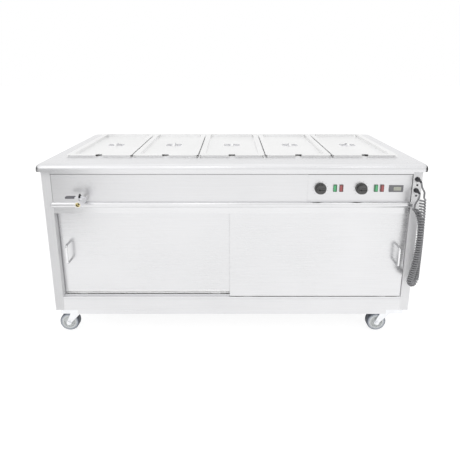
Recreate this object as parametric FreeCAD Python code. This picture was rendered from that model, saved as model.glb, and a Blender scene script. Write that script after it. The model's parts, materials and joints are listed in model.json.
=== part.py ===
"""A mobile heated servery: five lidded pans over a hot cupboard with sliding doors, on four castors.

Millimetres. X runs along the counter, Y from the front to the back and Z up from the floor.
The origin is on the floor, in the middle of the whole outline.
"""
import FreeCAD, Part
import math
import os

V = FreeCAD.Vector

# Overall sizes
deck_length = 1800.0
deck_depth = 700.0
deck_height = 950.0
sheet = 1.5
overrun = 4.0
running_gap = 0.3
panel_gap = 1.0

# Deck: a pressed top with a rolled edge and a return flange that lies on the body
deck_edge_height = 35.0
deck_edge_radius = 25.0
deck_corner_radius = 30.0
deck_overhang = 24.0
deck_end_overhang = 19.0
deck_seat = 12.0

# Row of pans
pan_count = 5
pan_gap = 2.0
pan_depth = 150.0
pan_sheet = 1.2
pan_flange = 12.0
pan_clearance = 2.0
pan_taper = 14.0
pan_corner_radius = 12.0
pan_wall_radius = 38.0
pan_front_margin = 132.0
pan_back_margin = 38.0
pan_end_margin = 82.5

# Lids
lid_inset = 2.0
lid_rise = 6.0
lid_bead_inset = 8.0
lid_bead_width = 3.0
lid_rim_width = 27.0
lid_sink = 12.0
lid_panel_radius = 18.0
lid_dish_width = 88.0
lid_dish_length = 48.0
lid_dish_depth = 20.0
lid_dish_radius = 12.0
strap_width = 12.0
strap_thickness = 2.0
strap_foot = 9.0
strap_rise = 8.0
notch_width = 32.0
notch_depth = 22.0

# Wet well under the pans
tank_clearance = 3.0
water_depth = 34.0
tank_flange = 10.0
bar_height = 12.0

# Body
post_width = 42.0
post_depth = 46.0
top_rail_height = 17.0
top_rail_depth = 30.0
plinth_height = 74.0
plinth_crease_height = 12.0
plinth_crease_step = 1.0
floor_lip = 30.0

# Head rail: ledge with a rounded nose, a strip below it, and the fins that guide the doors
rail_drop = 2.0
nose_height = 28.0
nose_reach = 15.0
strip_height = 32.0
rail_roof_drop = 4.0
rail_seat = 20.0

# Fascia and control panel
panel_thickness = 2.0
panel_recess = 3.0
panel_top_gap = 2.0

# Sliding doors
door_overlap = 22.0
door_depth = 18.0
door_sheet = 1.2
door_recess = 3.0
door_spacing = 4.0
door_end_gap = 3.0
door_engagement = 14.0
door_lip = 7.0
door_bottom_gap = 3.0
door_edge_radius = 2.0
track_rib_width = 3.0
track_rib_height = 6.0
glide_length = 40.0
glide_width = 12.0
glide_inset = 90.0
glide_clearance = 0.5
fin_thickness = 1.5

# Bow handles
handle_centres = 94.0
handle_reach = 36.0
handle_rod = 10.0
handle_bend = 13.0
handle_inset = 46.0
handle_height = 496.0

# Controls
knob_diameter = 54.0
knob_height = 21.0
knob_skirt_height = 6.0
knob_cap_diameter = 42.0
knob_grip_width = 11.0
knob_grip_height = 4.0
knob_gap = 1.0
knob_rise = 63.5
knob_margin = 60.0
knob_pitch = 190.0
shaft_diameter = 6.0
shaft_depth = 14.0
thermostat_size = 36.0
thermostat_depth = 34.0
lamp_width = 17.0
lamp_height = 34.0
lamp_proud = 4.0
lamp_lip = 1.5
lamp_depth = 22.0
lamp_rise = 65.0
green_offsets = (68.0, 68.0)
red_offsets = (97.0, 96.0)
display_width = 65.0
display_height = 32.0
display_proud = 3.0
display_lip = 2.5
display_depth = 24.0
display_offset = 162.0
display_margin = 75.0
display_rise = 63.0
window_width = 34.0
window_height = 18.0
window_offset = 5.0
window_thickness = 1.5

# Drain tap
tap_inset = 152.0
tap_rise = 13.0
tap_reach = 75.0
tap_back = 18.0
tap_flats = 27.0
tap_bore = 15.0
tap_outlet_diameter = 19.0
tap_outlet_depth = 15.0
tap_collar_diameter = 33.0
tap_collar_length = 9.0
tap_collar_gap = 8.0
tap_boss_diameter = 17.0
tap_boss_rise = 23.0
stem_diameter = 8.0
stem_depth = 9.0
stem_nut_diameter = 15.0
stem_nut_height = 6.0
lever_thickness = 3.0
lever_width = 12.0
lever_reach = 64.0
lever_tail = 18.0
grip_length = 42.0
grip_width = 17.0
grip_thickness = 9.0
pipe_diameter = 21.0
pipe_wall = 2.0

# Middle shelf and heating elements
shelf_rise = 226.0
shelf_side_gap = 8.0
shelf_front_gap = 14.0
shelf_back_gap = 10.0
shelf_lip = 18.0
bracket_width = 30.0
element_diameter = 8.0
element_margin = 207.5
element_spread = 200.0

# Base channels, castor pads and castors
base_setback = 40.0
base_sheet = 2.0
base_flange = 34.0
base_end_inset = 87.0
base_height = 56.0
castor_headroom = 30.0
castor_inset = 65.0
castor_setback = 94.0
castor_plate_length = 100.0
castor_plate_width = 84.0
castor_plate_thickness = 4.0
castor_bolt_diameter = 8.0
castor_bolt_head = 13.0
castor_bolt_head_height = 5.5
castor_bolt_inset = 12.0
race_diameter = 54.0
race_height = 10.0
race_gap = 0.5
kingpin_diameter = 12.0
kingpin_nut = 20.0
kingpin_nut_height = 6.0
wheel_diameter = 100.0
wheel_width = 32.0
wheel_trail = 48.0
rim_diameter = 74.0
hub_diameter = 30.0
web_thickness = 12.0
tyre_round = 6.0
tyre_seat_gap = 0.1
fork_sheet = 3.0
fork_gap = 3.0
fork_crown_front = 26.0
fork_crown_back = 30.0
fork_axle_boss = 26.0
axle_diameter = 10.0
axle_head = 17.0
axle_head_height = 6.0

# Cable glands and the curly cord
gland_base_diameter = 22.0
gland_base_height = 6.0
gland_dome_diameter = 17.0
gland_round = 4.0
cord_diameter = 7.8
coil_radius = 10.4
coil_curls = 70
coil_end_bend = 10.0
coil_drop = 496.0
coil_top_pitch = 14.0
coil_low_pitch = 9.8
coil_turn_pitch = 16.8
coil_back_pitch = 9.8
coil_ramp = 36.0
coil_front_lean = (-6.0, 6.0)
coil_rear_lean = (37.4, 1.7)
coil_lean_power = 5
upper_tail_steps = [
    (-25.0, -18.0, -24.0),
    (-25.0, -28.0, -24.0),
    (-25.0, -36.7, -29.0),
    (-25.0, -42.0, -38.0),
    (-24.0, -45.0, -48.5),
    (-19.5, -48.0, -58.5),
    (-14.6, -51.5, -68.0),
    (-14.6, -51.5, -79.0),
]
lower_tail_steps = [
    (-26.0, -18.0, -78.0),
    (-26.0, -28.0, -78.0),
    (-26.2, -36.6, -83.3),
    (-27.5, -41.7, -92.3),
    (-32.5, -42.0, -104.0),
    (-41.0, -41.5, -115.5),
    (-46.4, -40.5, -128.0),
    (-46.4, -40.5, -142.2),
]

# Places worked out from the sizes above
deck_middle = (tap_reach - deck_overhang) / 2
deck_front = deck_middle - deck_depth / 2
deck_back = deck_middle + deck_depth / 2
body_half = deck_length / 2 - deck_end_overhang
body_front = deck_front + deck_overhang
body_back = deck_back - deck_overhang
body_top = deck_height - deck_edge_height
fascia_top = body_top - top_rail_height
deck_underside = deck_height - sheet
opening_half = body_half - post_width
post_back = body_front + post_depth
castor_height = wheel_diameter + castor_headroom
body_bottom = castor_height + base_height
floor_top = body_bottom + plinth_height
tank_floor = deck_height - pan_depth - water_depth
rail_top = tank_floor - rail_drop
nose_bottom = rail_top - nose_height
strip_bottom = nose_bottom - strip_height
pan_pitch = (deck_length - 2 * pan_end_margin) / pan_count
pan_width = pan_pitch - pan_gap
pan_row_half = pan_count * pan_pitch / 2
pan_front = deck_front + pan_front_margin
pan_back = deck_back - pan_back_margin
pan_length = pan_back - pan_front
pan_middle = (pan_front + pan_back) / 2
well_half = pan_row_half - pan_gap / 2 - pan_flange
well_front = pan_front + pan_flange
well_back = pan_back - pan_flange
bar_width = 2 * pan_flange + pan_gap
flange_top = deck_height + pan_sheet
lid_underside = flange_top + lid_rise
lid_top = lid_underside + pan_sheet
lid_panel_top = lid_top - lid_sink
tank_front = well_front - tank_clearance
tank_back = well_back + tank_clearance
tank_half = well_half + tank_clearance
front_door_face = body_front + door_recess
rear_door_face = front_door_face + door_depth + door_spacing
door_bottom = floor_top + door_bottom_gap
door_top = strip_bottom + door_engagement
door_width = opening_half - door_end_gap + door_overlap / 2
left_door_left = door_end_gap - opening_half
right_door_left = opening_half - door_end_gap - door_width
fascia_right = opening_half - knob_margin - knob_pitch - display_offset - display_margin
panel_face = body_front + panel_recess
panel_back = panel_face + panel_thickness
knob_row_height = rail_top + knob_rise
knob_places = (fascia_right + knob_margin, fascia_right + knob_margin + knob_pitch)
lamp_row_height = rail_top + lamp_rise
green_places = [knob + offset for knob, offset in zip(knob_places, green_offsets)]
red_places = [knob + offset for knob, offset in zip(knob_places, red_offsets)]
display_place = opening_half - display_margin
display_row_height = rail_top + display_rise
tap_place = tap_inset - opening_half
tap_axis_height = tank_floor + tap_rise
shelf_height = floor_top + shelf_rise
element_length = 2 * (tank_half - element_margin)
castor_x = body_half - castor_inset
castor_ys = (body_front + castor_setback, body_back - castor_setback)
pad_front = base_setback + base_sheet
crown_top = castor_height - castor_plate_thickness - race_height - race_gap
upper_tail = [(body_half + x, body_front + y, fascia_top + z) for x, y, z in upper_tail_steps]
lower_tail = [(body_half + x, body_front + y, fascia_top + z) for x, y, z in lower_tail_steps]
coil_turn_height = fascia_top - coil_drop

parts = {}


def box(x0, x1, y0, y1, z0, z1):
    """A box between two corners."""
    return Part.makeBox(x1 - x0, y1 - y0, z1 - z0, V(x0, y0, z0))


def rod(start, end, diameter):
    """A round rod between two points."""
    along = end - start
    return Part.makeCylinder(diameter / 2, along.Length, start, along)


def rounded_wire(x, y, width, length, radius, z):
    """A rectangle with round corners, level at height z."""
    half_x = width / 2
    half_y = length / 2
    diagonal = radius * math.sqrt(0.5)
    edges = []
    corners = ((1, -1), (1, 1), (-1, 1), (-1, -1))
    starts = []
    ends = []
    middles = []
    for sx, sy in corners:
        centre = V(x + sx * (half_x - radius), y + sy * (half_y - radius), z)
        along_x = centre + V(sx * radius, 0, 0)
        along_y = centre + V(0, sy * radius, 0)
        turning_up = sx * sy < 0
        starts.append(along_y if turning_up else along_x)
        ends.append(along_x if turning_up else along_y)
        middles.append(centre + V(sx * diagonal, sy * diagonal, 0))
    for i in range(len(corners)):
        edges.append(Part.Arc(starts[i], middles[i], ends[i]).toShape())
        edges.append(Part.LineSegment(ends[i], starts[(i + 1) % len(corners)]).toShape())
    return Part.Wire(edges)


def rounded_block(x, y, width, length, radius, z0, z1):
    """An upright block with round corners."""
    return Part.Face(rounded_wire(x, y, width, length, radius, z0)).extrude(V(0, 0, z1 - z0))


def tapered_block(x, y, width, length, radius, z0, z1, taper):
    """A block with round corners that narrows by taper on every side towards z0."""
    low = rounded_wire(x, y, width - 2 * taper, length - 2 * taper, radius, z0)
    high = rounded_wire(x, y, width, length, radius, z1)
    return Part.makeLoft([low, high], True, True)


def ring(x, y, width, length, radius, z0, z1, wall):
    """An upright wall round a rounded rectangle."""
    outside = rounded_block(x, y, width, length, radius, z0, z1)
    hole = rounded_block(
        x, y, width - 2 * wall, length - 2 * wall, max(radius - wall, pan_sheet), z0 - overrun, z1 + overrun
    )
    return outside.cut(hole)


def joined(*shapes):
    """One solid made of touching shapes."""
    return shapes[0].fuse(list(shapes[1:])).removeSplitter()


def group(shapes):
    """Separate solids that share a node."""
    return Part.makeCompound(list(shapes))


def round_top(shape, z, radius):
    """Rounds the outer edges of a block's level top at height z."""
    edges = [e for e in shape.Edges if all(abs(v.Z - z) < running_gap for v in e.Vertexes)]
    return shape.makeFillet(radius, edges)


def tangent_path(points):
    """Straight runs joined by tangent arcs, each arc as large as its two runs allow."""
    reach_share = 0.45
    edges = []
    radii = []
    last = V(*points[0])
    for before, corner, after in zip(points, points[1:], points[2:]):
        corner = V(*corner)
        back = V(*before) - corner
        ahead = V(*after) - corner
        reach = reach_share * min(back.Length, ahead.Length)
        back.normalize()
        ahead.normalize()
        half_turn = (math.pi - back.getAngle(ahead)) / 2
        radius = reach / math.tan(half_turn)
        inward = back + ahead
        inward.normalize()
        start = corner + back * reach
        middle = corner + inward * (radius / math.cos(half_turn) - radius)
        end = corner + ahead * reach
        edges.append(Part.LineSegment(last, start).toShape())
        edges.append(Part.Arc(start, middle, end).toShape())
        radii.append(radius)
        last = end
    edges.append(Part.LineSegment(last, V(*points[-1])).toShape())
    return Part.Wire(edges), radii


def tube(path, diameter, start, direction):
    """A round bar swept along a smooth path."""
    section = Part.Wire(Part.Circle(start, direction, diameter / 2).toShape())
    return path.makePipeShell([section], True, False)


# Deck and well
def make_deck():
    middle = deck_middle
    outside = rounded_block(
        0, middle, deck_length, deck_depth, deck_corner_radius, body_top, deck_height
    )
    outside = round_top(outside, deck_height, deck_edge_radius)
    inside = rounded_block(
        0,
        middle,
        deck_length - 2 * sheet,
        deck_depth - 2 * sheet,
        deck_corner_radius - sheet,
        body_top + sheet,
        deck_underside,
    )
    inside = round_top(inside, deck_underside, deck_edge_radius - sheet)
    seat = deck_overhang + deck_seat
    end_seat = deck_end_overhang + deck_seat
    below = box(
        end_seat - deck_length / 2,
        deck_length / 2 - end_seat,
        deck_front + seat,
        deck_back - seat,
        body_top - overrun,
        body_top + sheet + overrun,
    )
    well = rounded_block(
        0,
        pan_middle,
        2 * well_half,
        well_back - well_front,
        pan_flange,
        deck_underside - overrun,
        deck_height + overrun,
    )
    return outside.cut([inside, below, well])


def make_tank():
    outside = box(
        -tank_half - sheet, tank_half + sheet, tank_front - sheet, tank_back + sheet, tank_floor - sheet, deck_underside
    )
    flange = box(
        -tank_half - tank_flange,
        tank_half + tank_flange,
        tank_front - tank_flange,
        tank_back + tank_flange,
        deck_underside - sheet,
        deck_underside,
    )
    inside = box(-tank_half, tank_half, tank_front, tank_back, tank_floor, deck_underside + overrun)
    drain = rod(
        V(tap_place, tank_front - sheet - overrun, tap_axis_height),
        V(tap_place, tank_front + overrun, tap_axis_height),
        pipe_diameter - 2 * pipe_wall,
    )
    return joined(outside, flange).cut([inside, drain])


def make_support_bars():
    bars = []
    for i in range(1, pan_count):
        x = i * pan_pitch - pan_row_half
        outside = box(
            x - bar_width / 2, x + bar_width / 2, well_front, well_back, deck_height - bar_height, deck_height
        )
        hollow = box(
            x - bar_width / 2 + sheet,
            x + bar_width / 2 - sheet,
            well_front - overrun,
            well_back + overrun,
            deck_height - bar_height - overrun,
            deck_height - sheet,
        )
        bars.append(outside.cut(hollow))
    return group(bars)


# Pans and lids
def make_pan(x):
    wall_width = pan_width - 2 * pan_flange - 2 * pan_clearance
    wall_length = pan_length - 2 * pan_flange - 2 * pan_clearance
    bottom = deck_height - pan_depth
    outside = tapered_block(x, pan_middle, wall_width, wall_length, pan_wall_radius, bottom, flange_top, pan_taper)
    inside = tapered_block(
        x,
        pan_middle,
        wall_width - 2 * pan_sheet,
        wall_length - 2 * pan_sheet,
        pan_wall_radius - pan_sheet,
        bottom + pan_sheet,
        flange_top,
        pan_taper,
    )
    mouth = rounded_block(
        x,
        pan_middle,
        wall_width - 2 * pan_sheet,
        wall_length - 2 * pan_sheet,
        pan_wall_radius - pan_sheet,
        deck_height - overrun,
        flange_top + overrun,
    )
    flange = rounded_block(x, pan_middle, pan_width, pan_length, pan_corner_radius, deck_height, flange_top)
    return joined(outside.cut(inside), flange.cut(mouth))


def make_lid(x):
    width = pan_width - 2 * lid_inset
    length = pan_length - 2 * lid_inset
    panel_width = width - 2 * lid_rim_width
    panel_length = length - 2 * lid_rim_width
    panel_bottom = lid_panel_top - pan_sheet
    rim = rounded_block(x, pan_middle, width, length, pan_corner_radius, lid_underside, lid_top)
    sunk = rounded_block(
        x, pan_middle, panel_width, panel_length, lid_panel_radius, lid_underside - overrun, lid_top + overrun
    )
    bead = ring(
        x,
        pan_middle,
        width - 2 * lid_bead_inset,
        length - 2 * lid_bead_inset,
        pan_corner_radius - lid_bead_inset,
        flange_top,
        lid_top,
        lid_bead_width,
    )
    wall = ring(x, pan_middle, panel_width, panel_length, lid_panel_radius, panel_bottom, lid_top, pan_sheet)
    panel = rounded_block(x, pan_middle, panel_width, panel_length, lid_panel_radius, panel_bottom, lid_panel_top)
    dish = rounded_block(
        x,
        pan_middle,
        lid_dish_width,
        lid_dish_length,
        lid_dish_radius,
        lid_panel_top - lid_dish_depth - pan_sheet,
        lid_panel_top,
    )
    hollow = rounded_block(
        x,
        pan_middle,
        lid_dish_width - 2 * pan_sheet,
        lid_dish_length - 2 * pan_sheet,
        lid_dish_radius - pan_sheet,
        lid_panel_top - lid_dish_depth,
        lid_panel_top + overrun,
    )
    notch = rounded_block(
        x,
        pan_front,
        notch_width,
        2 * (notch_depth + lid_inset),
        notch_width / 2 - lid_inset,
        panel_bottom - overrun,
        lid_top + overrun,
    )
    plate = joined(rim.cut(sunk), bead, wall, panel, dish).cut([hollow, notch])
    return group([plate, make_strap(x)])


def make_strap(x):
    """A flat strap that bridges the dish from front to back, with a foot at each end."""
    half = lid_dish_length / 2
    foot = half + strap_foot
    low = lid_panel_top
    high = lid_panel_top + strap_rise
    thick = strap_thickness
    outline = [
        (-foot, low),
        (-half, low),
        (-half + strap_foot, high),
        (half - strap_foot, high),
        (half, low),
        (foot, low),
        (foot, low + thick),
        (half + thick / 2, low + thick),
        (half - strap_foot + thick / 2, high + thick),
        (strap_foot - half - thick / 2, high + thick),
        (-half - thick / 2, low + thick),
        (-foot, low + thick),
    ]
    points = [V(x - strap_width / 2, pan_middle + y, z) for y, z in outline]
    return Part.Face(Part.makePolygon(points + points[:1])).extrude(V(strap_width, 0, 0))


# Body panels
def make_posts():
    posts = []
    for side in (-1, 1):
        x0, x1 = sorted((side * opening_half, side * body_half))
        outside = box(x0, x1, body_front, post_back, body_bottom, body_top)
        hollow = box(
            x0 + sheet,
            x1 - sheet,
            body_front + sheet,
            post_back - sheet,
            body_bottom - overrun,
            body_top + overrun,
        )
        posts.append(outside.cut(hollow))
    return group(posts)


def make_top_rail():
    """A folded rail between the posts, under the deck's front edge."""
    web = box(-opening_half, opening_half, body_front, body_front + sheet, fascia_top, body_top)
    flange = box(-opening_half, opening_half, body_front, body_front + top_rail_depth, body_top - sheet, body_top)
    return joined(web, flange)


def make_end_panels():
    panels = []
    for side in (-1, 1):
        x0, x1 = sorted((side * (body_half - sheet), side * body_half))
        panels.append(box(x0, x1, post_back, body_back, body_bottom, body_top))
    return group(panels)


def make_back_panel():
    return box(sheet - body_half, body_half - sheet, body_back - sheet, body_back, body_bottom, body_top)


def make_cupboard_floor():
    half = body_half - sheet
    plate = box(-half, half, post_back, body_back - sheet, floor_top - floor_lip, floor_top)
    below = box(
        sheet - half,
        half - sheet,
        post_back + sheet,
        body_back - 2 * sheet,
        floor_top - floor_lip - overrun,
        floor_top - sheet,
    )
    return plate.cut(below)


def make_plinth_rail():
    """The front rail under the doors, with a crease along its face and a guide rib for each door."""
    crease = floor_top - plinth_crease_height
    outside = joined(
        box(-opening_half, opening_half, body_front, post_back, body_bottom, crease),
        box(-opening_half, opening_half, body_front + plinth_crease_step, post_back, body_bottom, floor_top),
    )
    hollow = box(
        -opening_half - overrun,
        opening_half + overrun,
        body_front + plinth_crease_step + sheet,
        post_back + overrun,
        body_bottom + sheet,
        floor_top - sheet,
    )
    rail = outside.cut(hollow)
    for face in (front_door_face, rear_door_face):
        middle = face + door_depth / 2
        rib = box(
            -opening_half,
            opening_half,
            middle - track_rib_width / 2,
            middle + track_rib_width / 2,
            floor_top - sheet,
            floor_top + track_rib_height,
        )
        rail = joined(rail, rib)
    return rail


def make_head_rail():
    """The ledge over the doors: a hollow rounded nose, a strip below it, a roof and three guide fins."""
    half = opening_half
    nose_radius = nose_height / 2
    nose_y = body_front + nose_radius - nose_reach
    nose_z = rail_top - nose_radius
    start = V(-half, nose_y, nose_z)
    end = V(half, nose_y, nose_z)
    nose = rod(start, end, nose_height).cut(rod(start, end, nose_height - 2 * sheet))
    ahead = box(-half, half, body_front - nose_reach - overrun, min(nose_y, body_front), nose_bottom, rail_top)
    nose = nose.common(ahead)
    roof_z = nose_bottom + rail_roof_drop
    pieces = [nose]
    if nose_y < body_front:
        pieces.append(box(-half, half, nose_y, body_front, rail_top - sheet, rail_top))
        pieces.append(box(-half, half, nose_y, body_front, nose_bottom, nose_bottom + sheet))
    pieces.append(box(-half, half, body_front, body_front + sheet, strip_bottom, rail_top))
    pieces.append(box(-half, half, body_front, body_front + rail_seat, rail_top - sheet, rail_top))
    pieces.append(box(-half, half, body_front, post_back, roof_z - sheet, roof_z))
    fin_middle = (front_door_face + door_depth + rear_door_face) / 2
    fin_starts = (fin_middle - fin_thickness / 2, post_back - fin_thickness)
    for y in fin_starts:
        pieces.append(box(-half, half, y, y + fin_thickness, strip_bottom, roof_z))
    return joined(*pieces)


def make_fascia():
    top = fascia_top - panel_top_gap
    plate = box(-opening_half, fascia_right, body_front, body_front + sheet, rail_top, top)
    hole = rod(
        V(tap_place, body_front - overrun, tap_axis_height),
        V(tap_place, body_front + sheet + overrun, tap_axis_height),
        pipe_diameter + 2 * running_gap,
    )
    return plate.cut(hole)


def panel_hole(x, z, width, height):
    """A cutter for a rectangular hole through the control panel."""
    return box(
        x - width / 2, x + width / 2, panel_face - overrun, panel_back + overrun, z - height / 2, z + height / 2
    )


def make_control_panel():
    plate = box(
        fascia_right + panel_gap,
        opening_half - panel_gap,
        panel_face,
        panel_back,
        rail_top,
        fascia_top - panel_top_gap,
    )
    holes = []
    for x in knob_places:
        holes.append(
            rod(
                V(x, panel_face - overrun, knob_row_height),
                V(x, panel_back + overrun, knob_row_height),
                shaft_diameter + 2 * running_gap,
            )
        )
    for x in green_places + red_places:
        holes.append(panel_hole(x, lamp_row_height, lamp_width - 2 * lamp_lip, lamp_height - 2 * lamp_lip))
    holes.append(
        panel_hole(
            display_place, display_row_height, display_width - 2 * display_lip, display_height - 2 * display_lip
        )
    )
    return plate.cut(holes)


# Shelf and heating
def make_shelf():
    half = body_half - sheet - shelf_side_gap
    front = post_back + shelf_front_gap
    back = body_back - sheet - shelf_back_gap
    plate = box(-half, half, front, back, shelf_height - shelf_lip, shelf_height)
    below = box(
        -half - overrun, half + overrun, front + sheet, back - sheet, shelf_height - shelf_lip - overrun,
        shelf_height - sheet,
    )
    return plate.cut(below)


def make_shelf_brackets():
    brackets = []
    front = post_back + shelf_front_gap + sheet
    back = body_back - sheet - shelf_back_gap - sheet
    top = shelf_height - sheet
    for side in (-1, 1):
        wall = side * (body_half - sheet)
        x0, x1 = sorted((wall, wall - side * bracket_width))
        leg0, leg1 = sorted((wall, wall - side * sheet))
        ledge = box(x0, x1, front, back, top - sheet, top)
        leg = box(leg0, leg1, front, back, top - bracket_width, top)
        brackets.append(joined(ledge, leg))
    return group(brackets)


def make_element(z):
    """A sheathed heating rod, bent once into a long hairpin."""
    half = element_length / 2
    spread = element_spread / 2
    path = Part.Wire(
        [
            Part.LineSegment(V(-half, pan_middle - spread, z), V(half, pan_middle - spread, z)).toShape(),
            Part.Arc(
                V(half, pan_middle - spread, z), V(half + spread, pan_middle, z), V(half, pan_middle + spread, z)
            ).toShape(),
            Part.LineSegment(V(half, pan_middle + spread, z), V(-half, pan_middle + spread, z)).toShape(),
        ]
    )
    return tube(path, element_diameter, V(-half, pan_middle - spread, z), V(1, 0, 0))


# Doors
def make_door(left, face):
    """A folded outer tray with a lip over the track rib, a liner that closes it, and two glides."""
    right = left + door_width
    back = face + door_depth
    tray_bottom = door_bottom + door_lip
    outside = box(left, right, face, back, tray_bottom, door_top)
    fronts = [e for e in outside.Edges if abs(e.CenterOfMass.y - face) < running_gap and e.Length < door_width]
    outside = outside.makeFillet(door_edge_radius, fronts)
    inside = box(
        left + door_sheet,
        right - door_sheet,
        face + door_sheet,
        back + overrun,
        tray_bottom + door_sheet,
        door_top - door_sheet,
    )
    lip = box(
        left + door_edge_radius,
        right - door_edge_radius,
        face,
        face + door_sheet,
        door_bottom,
        tray_bottom + door_sheet,
    )
    tray = joined(outside.cut(inside), lip)
    liner = box(
        left + door_sheet,
        right - door_sheet,
        back - door_sheet,
        back,
        tray_bottom + door_sheet,
        door_top - door_sheet,
    )
    glides = []
    middle = (face + back) / 2
    groove = track_rib_width + 2 * glide_clearance
    rib_top = floor_top + track_rib_height + running_gap
    for x in (left + glide_inset, right - glide_inset):
        block = box(
            x - glide_length / 2,
            x + glide_length / 2,
            middle - glide_width / 2,
            middle + glide_width / 2,
            floor_top + running_gap,
            tray_bottom,
        )
        slot = box(
            x - glide_length / 2 - overrun,
            x + glide_length / 2 + overrun,
            middle - groove / 2,
            middle + groove / 2,
            floor_top - overrun,
            rib_top,
        )
        glides.append(block.cut(slot))
    return group([tray, liner] + glides)


def make_handle(x, face):
    """A round bow handle that stands on the door's face."""
    half = handle_centres / 2
    out = face - handle_reach
    bend = handle_bend
    diagonal = bend * (1 - math.sqrt(0.5))
    low = handle_height - half
    high = handle_height + half
    path = Part.Wire(
        [
            Part.LineSegment(V(x, face, low), V(x, out + bend, low)).toShape(),
            Part.Arc(V(x, out + bend, low), V(x, out + diagonal, low + diagonal), V(x, out, low + bend)).toShape(),
            Part.LineSegment(V(x, out, low + bend), V(x, out, high - bend)).toShape(),
            Part.Arc(V(x, out, high - bend), V(x, out + diagonal, high - diagonal), V(x, out + bend, high)).toShape(),
            Part.LineSegment(V(x, out + bend, high), V(x, face, high)).toShape(),
        ]
    )
    return tube(path, handle_rod, V(x, face, low), V(0, -1, 0))


# Controls
def make_knob(x):
    """A round knob with a skirt and a raised grip bar, on a shaft that reaches into the thermostat."""
    back = panel_face - knob_gap
    skirt_front = back - knob_skirt_height
    cap_front = back - knob_height
    grip_front = cap_front - knob_grip_height
    skirt = rod(V(x, back, knob_row_height), V(x, skirt_front, knob_row_height), knob_diameter)
    cap = rod(V(x, back, knob_row_height), V(x, cap_front, knob_row_height), knob_cap_diameter)
    grip = box(
        x - knob_cap_diameter / 2 + knob_grip_height,
        x + knob_cap_diameter / 2 - knob_grip_height,
        grip_front,
        cap_front + knob_grip_height,
        knob_row_height - knob_grip_width / 2,
        knob_row_height + knob_grip_width / 2,
    )
    shaft = rod(V(x, back, knob_row_height), V(x, panel_back + shaft_depth, knob_row_height), shaft_diameter)
    return joined(skirt, cap, grip, shaft)


def make_thermostats():
    bodies = []
    half = thermostat_size / 2
    for x in knob_places:
        body = box(
            x - half, x + half, panel_back, panel_back + thermostat_depth, knob_row_height - half,
            knob_row_height + half,
        )
        bore = rod(
            V(x, panel_back - overrun, knob_row_height),
            V(x, panel_back + shaft_depth + running_gap, knob_row_height),
            shaft_diameter + 2 * running_gap,
        )
        bodies.append(body.cut(bore))
    return group(bodies)


def make_lamps(places):
    """Rectangular lamps: a lens in front of the panel and a body that passes through it."""
    lamps = []
    for x in places:
        lens = box(
            x - lamp_width / 2,
            x + lamp_width / 2,
            panel_face - lamp_proud,
            panel_face,
            lamp_row_height - lamp_height / 2,
            lamp_row_height + lamp_height / 2,
        )
        body = box(
            x - lamp_width / 2 + lamp_lip,
            x + lamp_width / 2 - lamp_lip,
            panel_face,
            panel_face + lamp_depth,
            lamp_row_height - lamp_height / 2 + lamp_lip,
            lamp_row_height + lamp_height / 2 - lamp_lip,
        )
        lamps.append(joined(lens, body))
    return group(lamps)


def window_box(front, back):
    """The place of the display window between two depths."""
    x = display_place + window_offset
    return box(
        x - window_width / 2,
        x + window_width / 2,
        front,
        back,
        display_row_height - window_height / 2,
        display_row_height + window_height / 2,
    )


def make_display_bezel():
    front = panel_face - display_proud
    face = box(
        display_place - display_width / 2,
        display_place + display_width / 2,
        front,
        panel_face,
        display_row_height - display_height / 2,
        display_row_height + display_height / 2,
    )
    body = box(
        display_place - display_width / 2 + display_lip,
        display_place + display_width / 2 - display_lip,
        panel_face,
        panel_face + display_depth,
        display_row_height - display_height / 2 + display_lip,
        display_row_height + display_height / 2 - display_lip,
    )
    return joined(face, body).cut(window_box(front - overrun, panel_face - display_proud + window_thickness))


def make_display_window():
    front = panel_face - display_proud
    return window_box(front, front + window_thickness)


# Drain tap
def make_drain_pipe():
    start = V(tap_place, tank_front - sheet, tap_axis_height)
    end = V(tap_place, body_front - tap_back, tap_axis_height)
    return rod(start, end, pipe_diameter).cut(rod(start, end, pipe_diameter - 2 * pipe_wall))


def make_tap_body():
    """A ball valve: a hexagon with a round collar, a stem boss on top, and a threaded outlet ahead."""
    back = V(tap_place, body_front - tap_back, tap_axis_height)
    front = V(tap_place, body_front - tap_reach, tap_axis_height)
    corner = tap_flats / math.sqrt(3)
    sides = 6
    points = []
    for i in range(sides + 1):
        angle = 2 * math.pi * i / sides
        points.append(back + V(corner * math.cos(angle), 0, corner * math.sin(angle)))
    hexagon = Part.Face(Part.makePolygon(points)).extrude(front - back)
    collar_y = front.y + tap_collar_gap
    collar = rod(
        V(tap_place, collar_y, tap_axis_height),
        V(tap_place, collar_y + tap_collar_length, tap_axis_height),
        tap_collar_diameter,
    )
    stem_y = (back.y + front.y) / 2
    boss_top = tap_axis_height + tap_boss_rise
    boss = rod(V(tap_place, stem_y, tap_axis_height), V(tap_place, stem_y, boss_top), tap_boss_diameter)
    bore = rod(back, front, tap_bore)
    outlet = rod(front, front + V(0, tap_outlet_depth, 0), tap_outlet_diameter)
    stem_hole = rod(
        V(tap_place, stem_y, boss_top - stem_depth - running_gap),
        V(tap_place, stem_y, boss_top + overrun),
        stem_diameter + 2 * running_gap,
    )
    return joined(hexagon, collar, boss).cut([bore, outlet, stem_hole])


def make_tap_lever():
    """The stem, its nut and the flat lever that lies to the left when the tap is shut."""
    stem_y = body_front - (tap_back + tap_reach) / 2
    low = tap_axis_height + tap_boss_rise
    lever_low = low + running_gap
    lever_high = lever_low + lever_thickness
    stem = rod(V(tap_place, stem_y, low - stem_depth), V(tap_place, stem_y, lever_high), stem_diameter)
    lever = box(
        tap_place - lever_reach,
        tap_place + lever_tail,
        stem_y - lever_width / 2,
        stem_y + lever_width / 2,
        lever_low,
        lever_high,
    )
    nut = rod(V(tap_place, stem_y, lever_high), V(tap_place, stem_y, lever_high + stem_nut_height), stem_nut_diameter)
    return joined(stem, lever, nut)


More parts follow.
